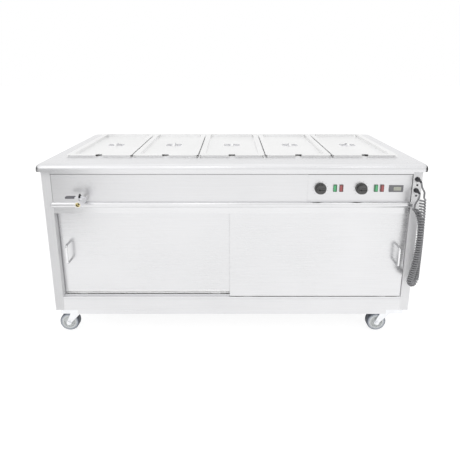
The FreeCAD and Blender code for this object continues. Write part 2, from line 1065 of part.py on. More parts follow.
def make_tap_grip(lever):
    stem_y = body_front - (tap_back + tap_reach) / 2
    middle = tap_axis_height + tap_boss_rise + running_gap + lever_thickness / 2
    end = tap_place - lever_reach - sheet
    sleeve = box(
        end,
        end + grip_length,
        stem_y - grip_width / 2,
        stem_y + grip_width / 2,
        middle - grip_thickness / 2,
        middle + grip_thickness / 2,
    )
    sleeve = sleeve.makeFillet(grip_thickness / 4, sleeve.Edges)
    return sleeve.cut(lever)


# Base and castors
def make_base_channels():
    """Front and back channels under the cupboard, between the castor pads."""
    half = body_half - base_end_inset
    flange_half = body_half - 2 * castor_inset
    channels = []
    for face, inward in ((body_front + base_setback, 1), (body_back - base_setback, -1)):
        y0, y1 = sorted((face, face + inward * base_sheet))
        f0, f1 = sorted((face, face + inward * base_flange))
        web = box(-half, half, y0, y1, castor_height, body_bottom)
        top = box(-flange_half, flange_half, f0, f1, body_bottom - base_sheet, body_bottom)
        bottom = box(-flange_half, flange_half, f0, f1, castor_height, castor_height + base_sheet)
        channels.append(joined(web, top, bottom))
    return group(channels)


def make_castor_pads():
    """Folded boxes at the corners that carry the castors, open towards the middle of the base."""
    half_depth = castor_setback - pad_front
    pads = []
    for side in (-1, 1):
        x0, x1 = sorted((side * (castor_x - castor_inset), side * body_half))
        for y, inward in zip(castor_ys, (1, -1)):
            outside = box(x0, x1, y - half_depth, y + half_depth, castor_height, body_bottom)
            open_end = y + inward * (half_depth + overrun)
            closed_end = y - inward * (half_depth - base_sheet)
            y0, y1 = sorted((open_end, closed_end))
            hollow = box(
                x0 + base_sheet, x1 - base_sheet, y0, y1, castor_height + base_sheet, body_bottom - base_sheet
            )
            pads.append(outside.cut(hollow))
    return group(pads)


def make_castor_plates():
    """Top plates with their upper race and kingpin, and the bolts that hold them to the pads."""
    solids = []
    bottom = castor_height - castor_plate_thickness
    bolt_x = castor_plate_length / 2 - castor_bolt_inset
    bolt_y = castor_plate_width / 2 - castor_bolt_inset
    for x in (-castor_x, castor_x):
        for y in castor_ys:
            plate = box(
                x - castor_plate_length / 2,
                x + castor_plate_length / 2,
                y - castor_plate_width / 2,
                y + castor_plate_width / 2,
                bottom,
                castor_height,
            )
            race = rod(V(x, y, bottom), V(x, y, bottom - race_height), race_diameter)
            nut_top = crown_top - fork_sheet - race_gap
            nut = rod(V(x, y, nut_top), V(x, y, nut_top - kingpin_nut_height), kingpin_nut)
            pin = rod(V(x, y, bottom), V(x, y, nut_top), kingpin_diameter)
            bolts = []
            holes = []
            for sx in (-1, 1):
                for sy in (-1, 1):
                    place = V(x + sx * bolt_x, y + sy * bolt_y, bottom)
                    up = V(0, 0, castor_plate_thickness)
                    head = rod(place, place - V(0, 0, castor_bolt_head_height), castor_bolt_head)
                    shank = rod(place, place + up, castor_bolt_diameter)
                    holes.append(rod(place - up, place + up * 2, castor_bolt_diameter + 2 * running_gap))
                    bolts.append(joined(head, shank))
            solids.append(joined(plate, race, nut, pin).cut(holes))
            solids.extend(bolts)
    return group(solids)


def make_fork(x, y):
    """A castor fork that trails towards -X, with its axle."""
    inner = wheel_width / 2 + fork_gap
    outer = inner + fork_sheet
    axle = V(x - wheel_trail, y, wheel_diameter / 2)
    boss = fork_axle_boss / 2
    crown_bottom = crown_top - fork_sheet
    crown = box(x - fork_crown_back, x + fork_crown_front, y - outer, y + outer, crown_bottom, crown_top)
    king_hole = rod(
        V(x, y, crown_bottom - overrun), V(x, y, crown_top + overrun), kingpin_diameter + 2 * running_gap
    )
    pieces = [crown]
    holes = [king_hole]
    for start in (y - outer, y + inner):
        outline = [
            V(x + fork_crown_front, start, crown_top),
            V(x - fork_crown_back, start, crown_top),
            V(axle.x - boss, start, axle.z),
            V(axle.x, start, axle.z - boss),
            V(axle.x + boss, start, axle.z),
        ]
        across = V(0, fork_sheet, 0)
        pieces.append(Part.Face(Part.makePolygon(outline + outline[:1])).extrude(across))
        pieces.append(rod(V(axle.x, start, axle.z), V(axle.x, start + fork_sheet, axle.z), fork_axle_boss))
    reach = V(0, outer, 0)
    holes.append(rod(axle - reach * 2, axle + reach * 2, axle_diameter + 2 * running_gap))
    fork = joined(*pieces).cut(holes)
    shank = rod(axle - reach, axle + reach, axle_diameter)
    head = V(0, axle_head_height, 0)
    ends = [rod(axle + reach, axle + reach + head, axle_head), rod(axle - reach, axle - reach - head, axle_head)]
    return group([fork, joined(shank, *ends)])


def make_wheel(x, y):
    """The wheel's centre: a rim, a thin web and a hub with the axle's bore."""
    axle = V(x - wheel_trail, y, wheel_diameter / 2)
    half = V(0, wheel_width / 2, 0)
    web = V(0, web_thickness / 2, 0)
    rim_wall = (rim_diameter - hub_diameter) / 8
    blank = rod(axle - half, axle + half, rim_diameter)
    bore = rod(axle - half * 2, axle + half * 2, axle_diameter + 2 * running_gap)
    recesses = []
    for side in (-1, 1):
        outer = rod(axle + web * side, axle + half * 2 * side, rim_diameter - 2 * rim_wall)
        hub = rod(axle + web * side, axle + half * 2 * side, hub_diameter)
        recesses.append(outer.cut(hub))
    return blank.cut(recesses + [bore])


def make_tyre(x, y):
    axle = V(x - wheel_trail, y, wheel_diameter / 2)
    half = V(0, wheel_width / 2, 0)
    blank = rod(axle - half, axle + half, wheel_diameter)
    blank = blank.makeFillet(tyre_round, [e for e in blank.Edges if len(e.Vertexes) == 1])
    return blank.cut(rod(axle - half * 2, axle + half * 2, rim_diameter + 2 * tyre_seat_gap))


# Glands and cord
def make_glands():
    glands = []
    for x, tip_y, z in (upper_tail[0], lower_tail[0]):
        base = rod(V(x, body_front, z), V(x, body_front - gland_base_height, z), gland_base_diameter)
        dome = rod(V(x, body_front, z), V(x, tip_y, z), gland_dome_diameter)
        tip = [e for e in dome.Edges if abs(e.CenterOfMass.y - tip_y) < running_gap]
        dome = dome.makeFillet(gland_round, tip)
        glands.append(joined(base, dome))
    return group(glands)


def make_tail(points):
    path, radii = tangent_path(points)
    print("tail radii", [round(r, 1) for r in radii])
    solid = tube(path, cord_diameter, V(*points[0]), V(*points[1]) - V(*points[0]))
    expected = math.pi * (cord_diameter / 2) ** 2 * path.Length
    print("tail volume over section times length", round(solid.Volume / expected, 4))
    return solid


class Hairpin:
    """The coil's middle line: down, round a half circle and up again, leaning over at the top."""

    def __init__(self):
        down = V(*upper_tail[-1])
        up = V(*lower_tail[-1])
        drop = V(0, 0, cord_diameter + coil_end_bend)
        self.front = down - drop - V(coil_radius, coil_end_bend, 0)
        self.rear = up - drop + V(coil_radius, coil_end_bend, 0)
        self.front_lean = V(*coil_front_lean, 0)
        self.rear_lean = V(*coil_rear_lean, 0)
        foot = self.front + self.front_lean
        across = self.rear + self.rear_lean - foot
        across.z = 0
        self.radius = across.Length / 2
        self.across = across / across.Length
        self.normal = V(self.across.y, -self.across.x, 0)
        self.down_run = self.front.z - coil_turn_height
        self.bend_run = math.pi * self.radius
        self.up_run = self.rear.z - coil_turn_height
        self.length = self.down_run + self.bend_run + self.up_run
        self.start_phase = math.atan2(self.across.y, self.across.x)
        part_turn = 2 * math.pi - 2 * self.start_phase
        self.turns = coil_curls + part_turn / (2 * math.pi)
        self.knots = [
            (0, coil_top_pitch),
            (self.down_run - coil_ramp, coil_low_pitch),
            (self.down_run, coil_turn_pitch),
            (self.down_run + self.bend_run, coil_turn_pitch),
            (self.down_run + self.bend_run + coil_ramp, coil_low_pitch),
            (self.length, coil_back_pitch),
        ]
        self.spans = []
        for (s0, p0), (s1, p1) in zip(self.knots, self.knots[1:]):
            slope = (p1 - p0) / (s1 - s0)
            count = math.log(p1 / p0) / slope if slope else (s1 - s0) / p0
            self.spans.append((s0, p0, slope, count))
        self.stretch = sum(span[3] for span in self.spans) / self.turns

    def along(self, turn):
        """The distance along the middle line after so many turns."""
        left = turn * self.stretch
        for s0, p0, slope, count in self.spans:
            if left <= count:
                break
            left -= count
        left = min(left, count)
        return s0 + (p0 * (math.exp(left * slope) - 1) / slope if slope else left * p0)

    def point(self, turn):
        """A point of the wire's middle after so many turns."""
        s = self.along(turn)
        phase = self.start_phase + 2 * math.pi * turn
        up = V(0, 0, 1)
        if s < self.down_run:
            middle = self.front + self.front_lean * (s / self.down_run) - up * s
            inward = self.across
        elif s < self.down_run + self.bend_run:
            angle = (s - self.down_run) / self.radius
            inward = self.across * math.cos(angle) + up * math.sin(angle)
            centre = self.front + self.front_lean + self.across * self.radius - up * self.down_run
            middle = centre - inward * self.radius
        else:
            inward = self.across * -1
            left = self.length - s
            climb = 1 - left / self.up_run
            middle = self.rear + self.rear_lean * (1 - climb**coil_lean_power) - up * left
        return middle + inward * (coil_radius * math.cos(phase)) + self.normal * (coil_radius * math.sin(phase))

    def tangent(self, turn):
        step_share = 0.001
        ahead = min(turn + step_share, self.turns)
        back = max(turn - step_share, 0)
        direction = self.point(ahead) - self.point(back)
        return direction.normalize()


def arc_from(start, direction, end):
    """The arc that leaves start along direction and reaches end."""
    chord = end - start
    toward = chord / chord.Length
    side = direction - toward * direction.dot(toward)
    bulge = chord.Length / 2 * math.tan(direction.getAngle(toward) / 2)
    middle = (start + end) / 2 + side.normalize() * bulge
    return Part.Arc(start, middle, end)


def biarc(start, direction, end, final):
    """Two arcs that join two points smoothly, leaving along direction and arriving along final."""
    gap = end - start
    both = direction + final
    turn = 2 * (1 - direction.dot(final))
    along = gap.dot(both)
    reach = (math.sqrt(along**2 + turn * gap.dot(gap)) - along) / turn
    join = (start + direction * reach + end - final * reach) / 2
    join_direction = (end - final * reach - start - direction * reach).normalize()
    return [arc_from(start, direction, join), arc_from(join, join_direction, end)]


def make_coil():
    line = Hairpin()
    turn_share = 0.5
    steps = math.ceil(line.turns / turn_share)
    turns = [line.turns * i / steps for i in range(steps + 1)]
    stops = [(line.point(t), line.tangent(t)) for t in turns]
    top = V(*upper_tail[-1])
    back_top = V(*lower_tail[-1])
    straight = V(0, 0, cord_diameter)
    down = V(0, 0, -1)
    up = V(0, 0, 1)
    stops.insert(0, (top - straight, down))
    stops.append((back_top - straight, up))
    arcs = []
    for (start, direction), (end, final) in zip(stops, stops[1:]):
        arcs.extend(biarc(start, direction, end, final))
    edges = [a.toShape() for a in arcs]
    print("coil tightest arc", round(min(e.Curve.Radius for e in edges), 2))
    edges.insert(0, Part.LineSegment(top, top - straight).toShape())
    edges.append(Part.LineSegment(back_top - straight, back_top).toShape())
    path = Part.Wire(edges)
    print("coil length", round(path.Length, 1), "turns", round(line.turns, 2))
    print("coil least gap to itself", round(least_gap(path), 2))
    return tube(path, cord_diameter, top, down)


def least_gap(path):
    """The least clear distance between stretches of the wire that lie more than half a turn apart."""
    samples_per_edge = 6
    points = []
    for edge in path.Edges:
        points.extend(edge.discretize(samples_per_edge + 1)[:-1])
    skip = math.pi * coil_radius
    far = 2 * cord_diameter
    run = [0.0]
    for a, b in zip(points, points[1:]):
        run.append(run[-1] + (b - a).Length)
    best = far
    for i, a in enumerate(points):
        for j in range(i + 1, len(points)):
            if run[j] - run[i] < skip:
                continue
            b = points[j]
            if abs(a.z - b.z) < far and abs(a.x - b.x) < far:
                best = min(best, (a - b).Length)
    return best - cord_diameter


def build_parts():
    parts["deck_top"] = make_deck()
    parts["well_tank"] = make_tank()
    parts["pan_support_bars"] = make_support_bars()
    for i in range(pan_count):
        x = (i + 0.5) * pan_pitch - pan_row_half
        parts[f"pan_{i + 1}"] = make_pan(x)
        parts[f"lid_{i + 1}"] = make_lid(x)
    parts["front_posts"] = make_posts()
    parts["top_rail"] = make_top_rail()
    parts["end_panels"] = make_end_panels()
    parts["back_panel"] = make_back_panel()
    parts["cupboard_floor"] = make_cupboard_floor()
    parts["plinth_rail"] = make_plinth_rail()
    parts["door_head_rail"] = make_head_rail()
    parts["fascia_panel"] = make_fascia()
    parts["control_panel"] = make_control_panel()
    parts["middle_shelf"] = make_shelf()
    parts["shelf_brackets"] = make_shelf_brackets()
    parts["well_element"] = make_element(tank_floor - sheet - running_gap - element_diameter / 2)
    parts["cupboard_element"] = make_element(floor_top - sheet - running_gap - element_diameter / 2)
    parts["left_door"] = make_door(left_door_left, rear_door_face)
    parts["left_door_handle"] = make_handle(handle_inset - opening_half, rear_door_face)
    parts["right_door"] = make_door(right_door_left, front_door_face)
    parts["right_door_handle"] = make_handle(opening_half - handle_inset, front_door_face)
    parts["well_knob"] = make_knob(knob_places[0])
    parts["cupboard_knob"] = make_knob(knob_places[1])
    parts["thermostats"] = make_thermostats()
    parts["green_lamps"] = make_lamps(green_places)
    parts["red_lamps"] = make_lamps(red_places)
    parts["display_bezel"] = make_display_bezel()
    parts["display_window"] = make_display_window()
    parts["drain_pipe"] = make_drain_pipe()
    parts["tap_body"] = make_tap_body()
    parts["tap_lever"] = make_tap_lever()
    parts["tap_grip"] = make_tap_grip(parts["tap_lever"])
    parts["base_channels"] = make_base_channels()
    parts["castor_pads"] = make_castor_pads()
    parts["castor_plates"] = make_castor_plates()
    for x, side in ((-castor_x, "left"), (castor_x, "right")):
        for y, end in zip(castor_ys, ("front", "back")):
            name = f"{end}_{side}"
            parts[f"fork_{name}"] = make_fork(x, y)
            parts[f"wheel_{name}"] = make_wheel(x, y)
            parts[f"tyre_{name}"] = make_tyre(x, y)
    parts["cable_glands"] = make_glands()
    parts["cord_tail_upper"] = make_tail(upper_tail)
    parts["cord_tail_lower"] = make_tail(lower_tail)
    parts["curly_cord"] = make_coil()


build_parts()
os.makedirs("parts", exist_ok=True)
for node, shape in parts.items():
    shape.exportStep(f"parts/{node}.step")
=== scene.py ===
"""The looks of a mobile heated servery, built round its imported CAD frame.

Metres, +Z up, front towards -Y.
"""
import json
import math

import bmesh
import bpy
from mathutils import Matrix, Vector


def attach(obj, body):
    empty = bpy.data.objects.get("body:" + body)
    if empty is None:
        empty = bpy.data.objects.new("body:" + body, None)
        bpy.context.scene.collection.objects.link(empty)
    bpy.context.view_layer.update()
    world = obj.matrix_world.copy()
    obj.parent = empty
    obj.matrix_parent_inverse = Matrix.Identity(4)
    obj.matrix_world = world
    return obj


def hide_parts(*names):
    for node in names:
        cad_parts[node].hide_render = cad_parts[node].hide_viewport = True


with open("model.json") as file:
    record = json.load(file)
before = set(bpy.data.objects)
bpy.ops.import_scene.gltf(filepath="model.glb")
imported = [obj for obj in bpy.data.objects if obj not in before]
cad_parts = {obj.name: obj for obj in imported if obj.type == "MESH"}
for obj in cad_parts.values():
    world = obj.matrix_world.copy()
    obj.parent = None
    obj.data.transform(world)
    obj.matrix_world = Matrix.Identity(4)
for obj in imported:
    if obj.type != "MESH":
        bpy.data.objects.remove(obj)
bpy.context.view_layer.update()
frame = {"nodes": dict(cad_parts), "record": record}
nodes = frame["nodes"]
scene = bpy.context.scene
scene.view_settings.view_transform = "Standard"


def add_object(name, data):
    item = bpy.data.objects.new(name, data)
    scene.collection.objects.link(item)
    return item


# Camera, as fitted to the photo
image_side = 460.0
focal_pixels = 335.5
sensor_width = 36.0
camera_place = (0.0009, -1.7782, 1.392)
camera_tilt = 0.1941
axis_pixel = (232.1, 130.8)

camera = add_object("camera", bpy.data.cameras.new("camera"))
camera.data.sensor_fit = "HORIZONTAL"
camera.data.sensor_width = sensor_width
camera.data.lens = sensor_width * focal_pixels / image_side
camera.data.shift_x = (image_side / 2 - axis_pixel[0]) / image_side
camera.data.shift_y = (axis_pixel[1] - image_side / 2) / image_side
camera.location = camera_place
camera.rotation_euler = (math.pi / 2 - camera_tilt, 0, 0)
scene.camera = camera

# Curly cord: the route of the two tails and the hairpin that the curls wind along
cord_diameter = 0.0078
curl_radius = 0.0104
curl_count = 70
points_per_curl = 12
end_bend = 0.010
turn_height = 0.392
pitch_ramp = 0.036
top_pitch, low_pitch, turn_pitch, back_pitch = 0.0122, 0.0098, 0.0095, 0.0098
front_lean, front_power, front_bow = (-0.014, 0.006, 0), 4, 0.007
rear_lean, rear_power = (0.0395, 0.0017, 0), 8
upper_tail = [
    (0.856, -0.3185, 0.874),
    (0.856, -0.3285, 0.874),
    (0.856, -0.3372, 0.869),
    (0.856, -0.3425, 0.860),
    (0.857, -0.3455, 0.8495),
    (0.8615, -0.3485, 0.8395),
    (0.8664, -0.352, 0.830),
    (0.8664, -0.352, 0.819),
]
lower_tail = [
    (0.855, -0.3185, 0.820),
    (0.855, -0.3285, 0.820),
    (0.8538, -0.3371, 0.8147),
    (0.851, -0.3422, 0.8057),
    (0.8475, -0.3425, 0.794),
    (0.842, -0.342, 0.7825),
    (0.8365, -0.341, 0.770),
    (0.8346, -0.341, 0.7558),
]


def curls():
    """Points that wind along the hairpin, in curls that start wide and are closest at its foot."""
    drop = Vector((0, 0, cord_diameter + end_bend))
    offset = Vector((curl_radius, end_bend, 0))
    front = Vector(upper_tail[-1]) - drop - offset
    rear = Vector(lower_tail[-1]) - drop + offset
    lean, aside = Vector(front_lean), Vector(rear_lean)
    foot = front + lean
    across = rear + aside - foot
    across.z = 0
    bend = across.length / 2
    across.normalize()
    normal = Vector((across.y, -across.x, 0))
    up = Vector((0, 0, 1))
    down_run = front.z - turn_height
    bend_end = down_run + math.pi * bend
    whole = bend_end + rear.z - turn_height
    first_phase = math.atan2(across.y, across.x)
    turns = curl_count + 1 - first_phase / math.pi

    # The pitch runs evenly from knot to knot, and a span holds the curls that it gives room for
    knots = [
        (0, top_pitch),
        (down_run - pitch_ramp, low_pitch),
        (down_run, turn_pitch),
        (bend_end, turn_pitch),
        (bend_end + pitch_ramp, low_pitch),
        (whole, back_pitch),
    ]
    spans = []
    for (s0, p0), (s1, p1) in zip(knots, knots[1:]):
        slope = (p1 - p0) / (s1 - s0)
        held = math.log(p1 / p0) / slope if slope else (s1 - s0) / p0
        spans.append((s0, p0, slope, held))
    stretch = sum(span[3] for span in spans) / turns

    count = round(turns * points_per_curl)
    reach = curl_radius / math.cos(math.pi / points_per_curl)
    points = []
    for i in range(count):
        turn = (i + 0.5) * turns / count
        left = turn * stretch
        for s0, p0, slope, held in spans:
            if left <= held:
                break
            left -= held
        s = s0 + (p0 * (math.exp(left * slope) - 1) / slope if slope else left * p0)
        phase = first_phase + 2 * math.pi * turn
        if s < down_run:
            share = s / down_run
            bow = Vector((4 * front_bow * share * (1 - share), 0, 0))
            middle, inward = front + lean * share**front_power + bow - up * s, across
        elif s < bend_end:
            angle = (s - down_run) / bend
            inward = across * math.cos(angle) + up * math.sin(angle)
            middle = foot + across * bend - up * down_run - inward * bend
        else:
            climb = 1 - (whole - s) / (rear.z - turn_height)
            middle = rear + aside * (1 - climb**rear_power) - up * (whole - s)
            inward = -across
        points.append(
            middle + inward * (reach * math.cos(phase)) + normal * (reach * math.sin(phase))
        )
    return points


def corner(tail, level):
    """The point under the end of a tail where the cord turns into its first curl."""
    return Vector((tail[-1][0], tail[-1][1], level))


def cord_curve(name, radius):
    """The cord from gland to gland, as a tube or, with a radius of 0, as a bare line."""
    curve = bpy.data.curves.new(name, "CURVE")
    curve.dimensions = "3D"
    curve.resolution_u = 3
    curve.bevel_depth = 1.0 if radius else 0.0
    curve.bevel_resolution = 3
    curve.use_fill_caps = radius > 0
    coil = curls()
    route = [Vector(p) for p in upper_tail] + [corner(upper_tail, coil[0].z)]
    route += coil + [corner(lower_tail, coil[-1].z)] + [Vector(p) for p in reversed(lower_tail)]
    spline = curve.splines.new("NURBS")
    spline.points.add(len(route) - 1)
    for point, place in zip(spline.points, route):
        point.co = (*place, 1)
        point.radius = radius or 1.0
    spline.order_u = 3
    spline.use_endpoint_u = True
    return add_object(name, curve)


cord = cord_curve("curly_cord_flex", cord_diameter / 2)
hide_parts("cord_tail_upper", "curly_cord", "cord_tail_lower")
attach(cord, "cabinet")

line = cord_curve("cord_line", 0)
depsgraph = bpy.context.evaluated_depsgraph_get()
traced = bpy.data.meshes.new_from_object(line.evaluated_get(depsgraph))
cord_points = [v.co.copy() for v in traced.vertices]
bpy.data.objects.remove(line)

# Shader nodes
one_noise = (0.3, 0.7)  # where most of a noise lies
two_noises = (0.7, 1.3)  # the same for two noises added
full_range = (0, 1)
top_light_span = (-0.5, 0.7)  # the upward part of a normal, from most painted shade to most painted light
hard_bump, soft_bump = 0.4, 0.5


def set_input(tree, socket, value):
    """Links an input to another node's output, or gives it a constant."""
    if isinstance(value, bpy.types.NodeSocket):
        tree.links.new(value, socket)
    else:
        socket.default_value = value


def set_inputs(tree, node, **inputs):
    for key, value in inputs.items():
        set_input(tree, node.inputs[key.replace("_", " ")], value)


def add(tree, kind, **inputs):
    node = tree.nodes.new(kind)
    set_inputs(tree, node, **inputs)
    return node


def calc(tree, operation, *values):
    node = tree.nodes.new("ShaderNodeMath")
    node.operation = operation
    for socket, value in zip(node.inputs, values):
        set_input(tree, socket, value)
    return node.outputs["Value"]


def empty_tree(owner):
    """The nodes of a material or world, with none in it yet."""
    owner.use_nodes = True
    owner.node_tree.nodes.clear()
    return owner.node_tree


def new_material(name):
    material = bpy.data.materials.new(name)
    tree = empty_tree(material)
    shader = tree.nodes.new("ShaderNodeBsdfPrincipled")
    add(tree, "ShaderNodeOutputMaterial", Surface=shader.outputs["BSDF"])
    return material, tree, shader


def own_place(tree):
    """The place on a piece in its own coordinates, which are the frame's."""
    return tree.nodes.new("ShaderNodeTexCoord").outputs["Object"]


def coordinate(tree, axis):
    return add(tree, "ShaderNodeSeparateXYZ", Vector=own_place(tree)).outputs[axis]


def radial(tree, x, z):
    """The distance from an axis along Y."""
    place = own_place(tree)
    mapped = add(tree, "ShaderNodeMapping", Vector=place, Location=(-x, 0, -z), Scale=(1, 0, 1))
    length = tree.nodes.new("ShaderNodeVectorMath")
    length.operation = "LENGTH"
    tree.links.new(mapped.outputs["Vector"], length.inputs[0])
    return length.outputs["Value"]


def noise(tree, scale, detail=3.0, stretch=(1, 1, 1)):
    """A noise over a piece, stretched along the grain."""
    mapped = add(tree, "ShaderNodeMapping", Vector=own_place(tree), Scale=stretch)
    place = mapped.outputs["Vector"]
    return add(tree, "ShaderNodeTexNoise", Vector=place, Scale=scale, Detail=detail).outputs["Fac"]


def ranged(tree, value, low, high, span=one_noise):
    """A value that runs from low to high while another crosses a span."""
    node = add(tree, "ShaderNodeMapRange", Value=value)
    set_inputs(tree, node, From_Min=span[0], From_Max=span[1], To_Min=low, To_Max=high)
    return node.outputs["Result"]


def ramp(tree, value, *stops):
    node = add(tree, "ShaderNodeValToRGB", Fac=value)
    while len(node.color_ramp.elements) < len(stops):
        node.color_ramp.elements.new(0.5)
    for element, (place, colour) in zip(node.color_ramp.elements, stops):
        element.position = place
        element.color = (*colour, 1)
    return node.outputs["Color"]


def grey(level):
    return (level, level, level)


def shade(colour, factor):
    return tuple(min(1.0, c * factor) for c in colour)


def toned(tree, value, colour, low, high, span=full_range):
    """A colour that runs from a darker to a paler tone of itself while a value crosses a span."""
    return ramp(tree, value, (span[0], shade(colour, low)), (span[1], shade(colour, high)))


def uneven(tree, value, roughness, spread, span=one_noise):
    """A roughness that varies a little to either side."""
    return ranged(tree, value, roughness - spread, roughness + spread, span)


def bump(tree, shader, height, depth, strength):
    node = add(tree, "ShaderNodeBump", Height=height, Distance=depth, Strength=strength)
    tree.links.new(node.outputs["Normal"], shader.inputs["Normal"])


def above(axis, start, end):
    """A mask that rises from 0 to 1 between two places on an axis of the frame."""
    return axis, 0, 1, (start, end)


def below(axis, start, end):
    """A mask that falls from 1 to 0 between two places on an axis of the frame."""
    return axis, 1, 0, (start, end)


def overlay(material, sockets, colour):
    """Lays a second colour over a material where all the sockets give 1."""
    tree = material.node_tree
    shader = next(n for n in tree.nodes if n.type == "BSDF_PRINCIPLED")
    first = shader.inputs["Base Color"].links[0].from_socket
    share = sockets[0]
    for other in sockets[1:]:
        share = calc(tree, "MULTIPLY", share, other)
    mixed = tree.nodes.new("ShaderNodeMix")
    mixed.data_type = "RGBA"
    set_inputs(tree, mixed, Factor=share, A=first, B=(*colour, 1))
    tree.links.new(mixed.outputs["Result"], shader.inputs["Base Color"])


def tint(material, masks, colour):
    """Lays a second colour over a material where all the masks are 1."""
    tree = material.node_tree
    sockets = []
    for axis, low, high, span in masks:
        sockets.append(ranged(tree, coordinate(tree, axis), low, high, span))
    overlay(material, sockets, colour)


# Places on the CAD pieces where the looks change
# Painted shadow in the slit under each lid's front rim
lid_slit = [
    below("Y", -0.1780, -0.1750),
    above("Z", 0.9490, 0.9500),
    below("Z", 0.9525, 0.9535),
]
# Painted light over the lowest parts of each lid
lid_lower_edge = [below("Z", 0.9445, 0.9460)]
# Painted light on the pans' rims
pan_rim = [above("Z", 0.9475, 0.9485)]
# Painted light on the right post, where the cord shades it
right_post = [above("X", -0.1, 0.1)]
# Painted shade along the top and right end of the control panel and the left end of the fascia,
# where they meet other sheets
panel_top = [above("Z", 0.8938, 0.8944)]
panel_end = [above("X", 0.8353, 0.8360)]
fascia_end = [below("X", -0.8375, -0.8365)]
# Painted light on the door track and along the left door's foot, against the shade and dark
# reflections in the gap under the doors
track_top = above("Z", 0.2590, 0.2598)
track_rear = [track_top, above("Y", -0.2880, -0.2870)]
track_right = [track_top, above("X", -0.01, 0.0)]
left_door_foot = [below("Z", 0.2800, 0.2830)]
left_handle_front, right_handle_front = -0.3165, -0.3385
# How far behind a handle's front its painted shade fades in
handle_shade_from, handle_shade_to = 0.004, 0.008
tap_axis = (-0.687, 0.779)  # x and z
tap_mouth = (0.008, 0.016)  # radii between which the brass ends
stem_inner, stem_outer = 0.0045, 0.0055
axle_height = 0.05
axle_left, axle_right = -0.864, 0.768
tyre_wall = (0.036, 0.050)  # radii of its foot and the tread
lamp_low, lamp_high, lamp_rim = 0.812, 0.846, 0.005
lamp_side = (0.0030, 0.0060)  # from a lens's middle towards its sides
lamp_rib_scale = 110.0
rib_span = (0.1, 0.9)
green_middle, green_half_pitch = 0.575, 0.097
red_middle, red_half_pitch = 0.6035, 0.0965

# Colours
steel = (0.785, 0.785, 0.795)
deck_steel = (0.785, 0.785, 0.797)
inner_steel = (0.62, 0.62, 0.63)
pan_steel = (0.56, 0.56, 0.57)
lid_steel = grey(0.895)
slit_shadow = grey(0.60)
lid_painted_light = (0.99, 0.99, 1.0)
# Painted light laid on the pans' rims, the door track and the left door's foot
painted_light_white = grey(0.98)
# Painted shade for the seams of the control panel and the fascia
panel_painted_shade, fascia_painted_shade = grey(0.10), grey(0.34)
left_post_steel, right_post_painted_light = (0.84, 0.84, 0.85), (0.96, 0.96, 0.97)
# The handle bar's colour, and the painted shade on its back
handle_bright, handle_painted_shade = (0.86, 0.86, 0.87), (0.50, 0.50, 0.51)
zinc = (0.90, 0.91, 0.93)
stem_dark = (0.05, 0.05, 0.055)
nickel = (0.84, 0.84, 0.86)
nickel_tones = [
    (0.0, (1.0, 0.91, 0.62)),
    (0.40, (1.0, 0.94, 0.74)),
    (0.55, (0.86, 0.86, 0.87)),
    (1.0, nickel),
]
tyre_tones = [
    (0.0, (0.62, 0.65, 0.69)),
    (0.45, (0.52, 0.55, 0.60)),
    (0.75, (0.17, 0.19, 0.23)),
    (1.0, (0.10, 0.11, 0.13)),
]

# Grains: how far each is stretched, how fine it is, how deep, and how large its wiped patches are
along_x = {"stretch": (5, 700, 700)}
along_y = {"stretch": (700, 5, 700)}
along_z = {"stretch": (700, 700, 5)}
polished_bar = {"stretch": (600, 600, 8), "depth": 0.00001, "cloud": 20.0}
cast = {"stretch": (1, 1, 1), "scale": 260.0, "depth": 0.00004, "cloud": 30.0}
drawn_tube = {"stretch": (1, 1, 1), "scale": 300.0, "depth": 0.00003, "cloud": 30.0}


# Materials
def metal(
    name,
    colour,
    roughness,
    stretch,
    spread=0.05,
    scale=1.0,
    depth=0.00002,
    cloud=3.0,
    metallic=1.0,
):
    """Metal with a fine grain along one direction and soft, uneven patches of wiping."""
    material, tree, shader = new_material(name)
    grain = noise(tree, scale, detail=4.0, stretch=stretch)
    mixed = calc(tree, "ADD", grain, noise(tree, cloud))
    share = ranged(tree, mixed, 0, 1, two_noises)
    tone = toned(tree, share, colour, low=0.95, high=1.04)
    gloss = uneven(tree, mixed, roughness, spread, two_noises)
    set_inputs(tree, shader, Base_Color=tone, Roughness=gloss, Metallic=metallic)
    bump(tree, shader, grain, depth, hard_bump)
    return material


def plastic(name, colour, roughness, pores=900.0, depth=0.00003, coat=0.0):
    """Moulded plastic or rubber: a fine pore, and a little unevenness in colour and gloss."""
    material, tree, shader = new_material(name)
    pore = noise(tree, pores)
    cloud = noise(tree, scale=40.0, detail=2.0)
    tone = toned(tree, cloud, colour, low=0.86, high=1.12, span=one_noise)
    mixed = calc(tree, "ADD", pore, cloud)
    gloss = uneven(tree, mixed, roughness, spread=0.07, span=two_noises)
    set_inputs(tree, shader, Base_Color=tone, Roughness=gloss, Coat_Weight=coat)
    bump(tree, shader, pore, depth, soft_bump)
    return material


def top_lit_painted(name, colour, roughness):
    """A rubber sheath with painted light on its upper sides and painted shade underneath."""
    material, tree, shader = new_material(name)
    pore = noise(tree, scale=700.0)
    normal = tree.nodes.new("ShaderNodeNewGeometry").outputs["Normal"]
    upward = add(tree, "ShaderNodeSeparateXYZ", Vector=normal).outputs["Z"]
    tone = toned(tree, ranged(tree, upward, 0, 1, top_light_span), colour, low=0.45, high=1.5)
    gloss = uneven(tree, pore, roughness, spread=0.06)
    set_inputs(tree, shader, Base_Color=tone, Roughness=gloss)
    bump(tree, shader, pore, depth=0.00005, strength=soft_bump)
    return material


def lid(name):
    """Sheet metal with painted shadow in the slit under the lid's front rim and painted light along
    its foot.
    """
    material = metal(name, lid_steel, roughness=0.34, **along_x)
    tint(material, lid_slit, slit_shadow)
    tint(material, lid_lower_edge, lid_painted_light)
    return material


